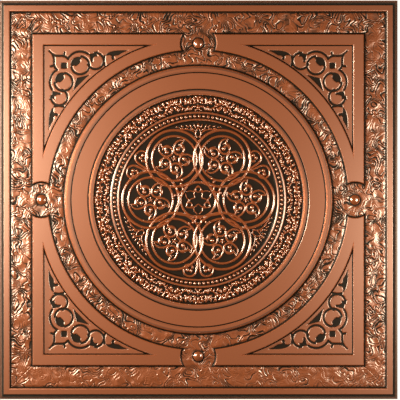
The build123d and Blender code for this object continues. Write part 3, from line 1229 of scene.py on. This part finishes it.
def noise_node(tree, vector, scale, detail, **more):
    """Value of a Noise Texture."""
    links = (("Vector", vector), ("Scale", scale), ("Detail", detail), *more.items())
    return add_node(tree, "ShaderNodeTexNoise", links).outputs["Fac"]


# Rubbing at which the aged copper and the bright copper start to show and are full
AGED_RUBBING = (0.08, 0.42)
BRIGHT_RUBBING = (0.35, 0.85)
# Metal, roughness and sheen: rubbing from and to, and the value at each
METAL = (0.1, 0.6, 0.1, 0.35)
ROUGHNESS = (0.1, 0.7, 0.5, 0.42)
SHEEN = (0.05, 0.6, 0.03, 1.0)
# Flecks: noise from and to, and the brightness at each
FLECKS = (0.3, 0.7, 0.94, 1.05)
FLECK_SCALE = 900.0
# Index of refraction of the printed film, and the depth of its grain in millimetres
COPPER_IOR = 1.4
GRAIN_DEPTH = 0.4


def aged_copper_group(colours):
    """Shared colour of the print: patina, aged and rubbed copper by the mask, with mottle and flecks."""
    group, entry, leave = socket_group(
        "Aged Copper",
        [
            ("Rubbed", "NodeSocketFloat", 1.0),
            ("Mottle", "NodeSocketFloat", 0.1),
            ("Mottle Scale", "NodeSocketFloat", 60.0),
        ],
        [
            ("Colour", "NodeSocketColor"), ("Metal", "NodeSocketFloat"),
            ("Roughness", "NodeSocketFloat"), ("Sheen", "NodeSocketFloat"),
        ],
    )
    place = add_node(group, "ShaderNodeTexCoord").outputs["Object"]
    cloud = noise_node(group, place, entry.outputs["Mottle Scale"], 4.0, Roughness=0.6)
    drift = math_node(group, "MULTIPLY", math_node(group, "SUBTRACT", cloud, 0.5), entry.outputs["Mottle"])
    mask = math_node(group, "ADD", entry.outputs["Rubbed"], drift)
    lively = ramp_node(group, noise_node(group, place, FLECK_SCALE, 2.0), *FLECKS)
    print_colours = (colours.patina, colours.copper_dark, colours.copper)
    patina, dark, bright = ((*colour, 1.0) for colour in print_colours)
    aged = colour_node(group, ramp_node(group, mask, *AGED_RUBBING), patina, dark)
    rubbed = colour_node(group, ramp_node(group, mask, *BRIGHT_RUBBING), aged, bright)
    flecked = add_node(group, "ShaderNodeVectorMath", ((0, rubbed), (3, lively)), operation="SCALE")
    group.links.new(flecked.outputs[0], leave.inputs["Colour"])
    group.links.new(ramp_node(group, mask, *METAL), leave.inputs["Metal"])
    group.links.new(ramp_node(group, mask, *ROUGHNESS), leave.inputs["Roughness"])
    group.links.new(ramp_node(group, mask, *SHEEN), leave.inputs["Sheen"])
    return group


def satin_grain_group():
    """Shared fine grain of the printed film, as a height for a Bump node."""
    group, entry, leave = socket_group(
        "Satin Grain", [("Scale", "NodeSocketFloat", 1400.0)], [("Height", "NodeSocketFloat")]
    )
    place = add_node(group, "ShaderNodeTexCoord").outputs["Object"]
    group.links.new(noise_node(group, place, entry.outputs["Scale"], 3.0), leave.inputs["Height"])
    return group


def shared_group(name, build):
    """The node group of that name, built the first time it is asked for."""
    return bpy.data.node_groups.get(name) or build()


def copper_shader(material, rubbed, mottle, mottle_scale, grain_strength, coat_roughness, coat_index):
    """Principled shader of the print on a material whose tree is empty; rubbed is the mask socket.

    Returns the node of the print's colours, the shader and the Bump node of its grain.
    """
    tree = material.node_tree
    colours = bpy.context.scene.tile_finish
    aged = add_node(
        tree, "ShaderNodeGroup",
        (("Rubbed", rubbed), ("Mottle", mottle), ("Mottle Scale", mottle_scale)),
        node_tree=shared_group("Aged Copper", lambda: aged_copper_group(colours)),
    )
    grain = add_node(tree, "ShaderNodeGroup", (), node_tree=shared_group("Satin Grain", satin_grain_group))
    bent = add_node(
        tree, "ShaderNodeBump",
        (("Height", grain.outputs["Height"]), ("Strength", grain_strength), ("Distance", GRAIN_DEPTH * MM)),
    )
    shader = add_node(
        tree, "ShaderNodeBsdfPrincipled",
        (
            ("Base Color", aged.outputs["Colour"]), ("Metallic", aged.outputs["Metal"]),
            ("Roughness", aged.outputs["Roughness"]), ("Normal", bent.outputs["Normal"]),
            ("Coat Weight", aged.outputs["Sheen"]), ("Coat Roughness", coat_roughness),
            ("Coat IOR", coat_index), ("IOR", COPPER_IOR),
        ),
    )
    add_node(tree, "ShaderNodeOutputMaterial", (("Surface", shader.outputs["BSDF"]),))
    return aged, shader, bent


def empty_material(name):
    """New material with an empty node tree."""
    material = bpy.data.materials.new(name)
    material.use_nodes = True
    material.node_tree.nodes.clear()
    return material


# Mottle, mottle scale, grain strength, coat roughness and coat index of each finish
FINISHES = {
    "copper_sheet": (0.12, 70.0, 0.1, 0.36, 2.8),
    "hammered_copper": (0.35, 120.0, 0.2, 0.31, 2.7),
    "panel_copper": (0.12, 70.0, 0.1, 0.36, 2.8),
    "ornament_copper": (0.15, 90.0, 0.12, 0.19, 3.6),
}

# Heights, in millimetres, over which each zone of the sheet goes from patina to rubbed copper
WALL_RUB = (5.6, 7.5)
ROSETTE_RUB = (5.0, 6.4)
MOULDING_RUB = (7.1, 7.58)
# Outer radius of the rosette's zone, and inner and outer radius of the medallion's band
ROSETTE_ZONE_R = 137.5
BAND_ZONE_R = (160.0, 199.0)
# Dark grooves beside the medallion's beads, as middle radius and half-width, and the width of their fade
DARK_GROOVES = ((166.6, 0.8), (192.3, 0.6))
GROOVE_FADE = 0.7
# Half-sides of the squares between which the rim's outer wall goes dark and the flange starts
RIM_DARK = (293.2, 294.4)
FLANGE_START = (297.0, 297.9)
FLANGE_RUBBING = 0.38
# Soft shoulders at the tops of the walls: heights from and to, and how strong the bend is
SHOULDERS = (6.0, 7.8)
SHOULDER_BEND = 0.65
# Inner and outer radius of each rolled bead of the medallion, the width of its roll, and the rolls' depth
ROLLED_BEADS = ((159.6, 165.8), (193.3, 200.9))
BEAD_EDGE = 2.4
ROLL_DEPTH = 1.5


def finish_material(name):
    """Material of the fine relief, which reads its rubbing from the mesh; built once."""
    found = bpy.data.materials.get(name)
    if found:
        return found
    material = empty_material(name)
    mask = add_node(material.node_tree, "ShaderNodeAttribute", (), attribute_name="rubbed").outputs["Fac"]
    copper_shader(material, mask, *FINISHES[name])
    return material


def ramp_between(tree, value, limits, to_low=0.0, to_high=1.0):
    """Output of a smooth Map Range node whose limits are in millimetres."""
    low, high = limits
    return ramp_node(tree, value, low * MM, high * MM, to_low, to_high)


def sheet_mask(tree, height, radius, square):
    """Rubbing of the formed sheet by its height in each zone, with grooves, rim wall and flange."""
    inner, outer = BAND_ZONE_R
    in_rosette = math_node(tree, "LESS_THAN", radius, ROSETTE_ZONE_R * MM)
    inside = math_node(tree, "LESS_THAN", radius, outer * MM)
    in_band = math_node(tree, "MULTIPLY", inside, math_node(tree, "GREATER_THAN", radius, inner * MM))
    walls, rosette, mouldings = (
        ramp_between(tree, height, limits) for limits in (WALL_RUB, ROSETTE_RUB, MOULDING_RUB)
    )
    mask = blend_node(tree, in_band, blend_node(tree, in_rosette, walls, rosette), mouldings)
    for middle, half_width in DARK_GROOVES:
        off = math_node(tree, "ABSOLUTE", math_node(tree, "SUBTRACT", radius, middle * MM))
        clear = ramp_between(tree, off, (half_width, half_width + GROOVE_FADE))
        mask = math_node(tree, "MULTIPLY", mask, clear)
    mask = math_node(tree, "MULTIPLY", mask, ramp_between(tree, square, RIM_DARK, 1.0, 0.0))
    flange = ramp_between(tree, square, FLANGE_START, 0.0, FLANGE_RUBBING)
    return math_node(tree, "MAXIMUM", mask, flange)


def rolled_height(tree, height, radius):
    """Height for a Bump node: walls turn over into the flats, and beads roll towards their edges."""
    rolled = ramp_between(tree, height, SHOULDERS, SHOULDER_BEND, 0.0)
    for inner, outer in ROLLED_BEADS:
        rise = ramp_between(tree, radius, (inner, inner + BEAD_EDGE))
        fall = ramp_between(tree, radius, (outer - BEAD_EDGE, outer), 1.0, 0.0)
        rolled = math_node(tree, "ADD", math_node(tree, "MULTIPLY", rise, fall), rolled)
    return rolled


def sheet_material():
    """Print of the formed sheet: rubbed by height above the ground of each zone, plain vinyl on the back."""
    material = empty_material("copper_sheet")
    tree = material.node_tree
    place = add_node(tree, "ShaderNodeTexCoord").outputs["Object"]
    parts = add_node(tree, "ShaderNodeSeparateXYZ", ((0, place),)).outputs
    x, y, height = parts["X"], parts["Y"], parts["Z"]
    squares = math_node(tree, "ADD", math_node(tree, "MULTIPLY", x, x), math_node(tree, "MULTIPLY", y, y))
    radius = math_node(tree, "SQRT", squares)
    square = math_node(tree, "MAXIMUM", math_node(tree, "ABSOLUTE", x), math_node(tree, "ABSOLUTE", y))
    mask = sheet_mask(tree, height, radius, square)
    aged, shader, grain = copper_shader(material, mask, *FINISHES["copper_sheet"])
    rolled = rolled_height(tree, height, radius)
    links = (("Height", rolled), ("Strength", 1.0), ("Distance", ROLL_DEPTH * MM))
    roll = add_node(tree, "ShaderNodeBump", links)
    tree.links.new(roll.outputs["Normal"], grain.inputs["Normal"])

    normal = add_node(tree, "ShaderNodeNewGeometry").outputs["Normal"]
    upward = add_node(tree, "ShaderNodeSeparateXYZ", ((0, normal),)).outputs["Z"]
    facing = math_node(tree, "GREATER_THAN", upward, 0.0)
    back = (*bpy.context.scene.tile_finish.back, 1.0)
    tree.links.new(colour_node(tree, facing, back, aged.outputs["Colour"]), shader.inputs["Base Color"])
    tree.links.new(math_node(tree, "MULTIPLY", aged.outputs["Metal"], facing), shader.inputs["Metallic"])
    return material


class TILE_OT_sheet_finish(Operator):
    """Give the formed sheet its antique-copper print and its plain back"""

    bl_idname = "tile.sheet_finish"
    bl_label = "Sheet Finish"

    def execute(self, context):
        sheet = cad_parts[SHEET]
        material = sheet_material()
        if not sheet.material_slots:
            raise RuntimeError("the sheet has no material slot")
        for slot in sheet.material_slots:
            slot.link = "OBJECT"
            slot.material = material
        return {"FINISHED"}


# Studio

# Place of each soft light and its width and height, in metres; all of them face the tile's centre
LIGHTS = {
    "key_left": ((-0.5, 0.06, 0.5), (0.3, 0.19)),
    "rake_left": ((-1.6, 0.3, 0.34), (0.5, 0.2)),
    "fill_right": ((0.5, -0.06, 0.5), (0.26, 0.19)),
}
LIGHT_COLOUR = (1.0, 0.9, 0.66)
DIM_COLOUR = (1.0, 0.84, 0.6, 1.0)
DIM_STRENGTH = 0.04
WHITE = (1.0, 1.0, 1.0, 1.0)
# Floor: half its side in metres, how many millimetres it lies below the flange, and its glow for the camera
FLOOR_REACH = 40.0
FLOOR_DROP = 0.3
FLOOR_GLOW = 0.7
FLOOR_ROUGHNESS = 0.9
FLOOR_GRAIN_SCALE = 300.0
FLOOR_GRAIN = 0.05
# Width of the camera's sensor in millimetres, and the nearest and farthest it sees, in metres
SENSOR_WIDTH = 36.0
CLIP = (0.1, 100.0)


def seen_mask(tree):
    """1 for what the camera sees, also through clear things, and 0 for what lights the tile."""
    rays = add_node(tree, "ShaderNodeLightPath").outputs
    return math_node(tree, "MAXIMUM", rays["Is Camera Ray"], rays["Is Transmission Ray"])


def stage_material(name, colour):
    """Floor that the camera sees as white, with the tile's shadow left on it."""
    material = empty_material(name)
    tree = material.node_tree
    glow = math_node(tree, "MULTIPLY", seen_mask(tree), FLOOR_GLOW)
    matt = add_node(
        tree, "ShaderNodeBsdfPrincipled",
        (
            ("Base Color", (*colour, 1.0)), ("Roughness", FLOOR_ROUGHNESS),
            ("Emission Color", WHITE), ("Emission Strength", glow),
        ),
    )
    place = add_node(tree, "ShaderNodeTexCoord").outputs["Object"]
    speck = noise_node(tree, place, FLOOR_GRAIN_SCALE, 3.0)
    bent = add_node(tree, "ShaderNodeBump", (("Height", speck), ("Strength", FLOOR_GRAIN), ("Distance", MM)))
    tree.links.new(bent.outputs["Normal"], matt.inputs["Normal"])
    add_node(tree, "ShaderNodeOutputMaterial", (("Surface", matt.outputs["BSDF"]),))
    tree.nodes.active = matt
    return material


def area_light(name, power):
    """Rectangular soft light that faces the tile's centre."""
    place, (width, height) = LIGHTS[name]
    light = bpy.data.lights.new(name, "AREA")
    light.shape = "RECTANGLE"
    light.size, light.size_y = width, height
    light.energy = power
    light.color = LIGHT_COLOUR
    holder = bpy.data.objects.new(name, light)
    bpy.context.scene.collection.objects.link(holder)
    x, y, z = place
    holder.location = place
    holder.rotation_euler = (math.atan2(math.hypot(x, y), z), 0.0, math.atan2(y, x) + math.pi / 2.0)


def studio_world():
    """World that the camera sees as white, and that lights the tile only dimly."""
    world = bpy.data.worlds.new("studio_world")
    world.use_nodes = True
    tree = world.node_tree
    tree.nodes.clear()
    dim = add_node(tree, "ShaderNodeBackground", (("Color", DIM_COLOUR), ("Strength", DIM_STRENGTH)))
    white = add_node(tree, "ShaderNodeBackground", (("Color", WHITE), ("Strength", 1.0)))
    links = ((0, seen_mask(tree)), (1, dim.outputs[0]), (2, white.outputs[0]))
    blend = add_node(tree, "ShaderNodeMixShader", links)
    add_node(tree, "ShaderNodeOutputWorld", (("Surface", blend.outputs[0]),))
    return world


class TILE_OT_studio(Operator):
    """Set the pale floor, the soft lights, the world and the overhead camera"""

    bl_idname = "tile.studio"
    bl_label = "Studio"

    def execute(self, context):
        scene = context.scene
        studio = scene.tile_studio
        scene.view_settings.view_transform = "Standard"

        mesh = bpy.data.meshes.new("floor")
        quarters = ((-1, -1), (1, -1), (1, 1), (-1, 1))
        corners = [(x * FLOOR_REACH, y * FLOOR_REACH, -FLOOR_DROP * MM) for x, y in quarters]
        mesh.from_pydata(corners, [], [(0, 1, 2, 3)])
        floor = bpy.data.objects.new("floor", mesh)
        scene.collection.objects.link(floor)
        mesh.materials.append(stage_material("pale_floor", studio.floor_colour))

        area_light("key_left", studio.key_power)
        area_light("rake_left", studio.rake_power)
        area_light("fill_right", studio.fill_power)
        scene.world = studio_world()

        camera_data = bpy.data.cameras.new("overhead")
        camera_data.lens = studio.lens
        camera_data.sensor_width = SENSOR_WIDTH
        camera_data.clip_start, camera_data.clip_end = CLIP
        camera = bpy.data.objects.new("overhead", camera_data)
        scene.collection.objects.link(camera)
        height = RIM_Z * MM + studio.picture_side * studio.lens / SENSOR_WIDTH
        camera.location = (*studio.camera_shift, height)
        scene.camera = camera
        return {"FINISHED"}


# Add-on


class TILE_PT_panel(Panel):
    """Lists the steps that dress the tile"""

    bl_idname = "TILE_PT_panel"
    bl_label = "Ceiling Tile"
    bl_space_type = "VIEW_3D"
    bl_region_type = "UI"
    bl_category = "Ceiling Tile"

    def draw(self, context):
        layout = self.layout
        for operator in OPERATORS:
            layout.operator(operator.bl_idname)
        for group in (context.scene.tile_relief, context.scene.tile_finish, context.scene.tile_studio):
            box = layout.box()
            for key in group.__annotations__:
                box.prop(group, key)


SETTINGS = (TileReliefSettings, TileFinishSettings, TileStudioSettings)
OPERATORS = (
    TILE_OT_sheet_finish,
    TILE_OT_hammered_ground,
    TILE_OT_spandrel_panels,
    TILE_OT_rosette_hoops,
    TILE_OT_rosette_curls,
    TILE_OT_rosette_lunettes,
    TILE_OT_rosette_knot,
    TILE_OT_floral_ring,
    TILE_OT_bead_row,
    TILE_OT_bosses,
    TILE_OT_studio,
)


def register():
    for item in (*SETTINGS, *OPERATORS, TILE_PT_panel):
        bpy.utils.register_class(item)
    bpy.types.Scene.tile_relief = PointerProperty(type=TileReliefSettings)
    bpy.types.Scene.tile_finish = PointerProperty(type=TileFinishSettings)
    bpy.types.Scene.tile_studio = PointerProperty(type=TileStudioSettings)


def unregister():
    del bpy.types.Scene.tile_studio, bpy.types.Scene.tile_finish, bpy.types.Scene.tile_relief
    for item in reversed((*SETTINGS, *OPERATORS, TILE_PT_panel)):
        bpy.utils.unregister_class(item)


def main():
    register()
    bpy.ops.tile.sheet_finish()
    bpy.ops.tile.hammered_ground()
    bpy.ops.tile.spandrel_panels()
    bpy.ops.tile.rosette_hoops()
    bpy.ops.tile.rosette_curls()
    bpy.ops.tile.rosette_lunettes()
    bpy.ops.tile.rosette_knot()
    bpy.ops.tile.floral_ring()
    bpy.ops.tile.bead_row()
    bpy.ops.tile.bosses()
    bpy.ops.tile.studio()
    bpy.context.view_layer.update()


if __name__ == "__main__":
    main()
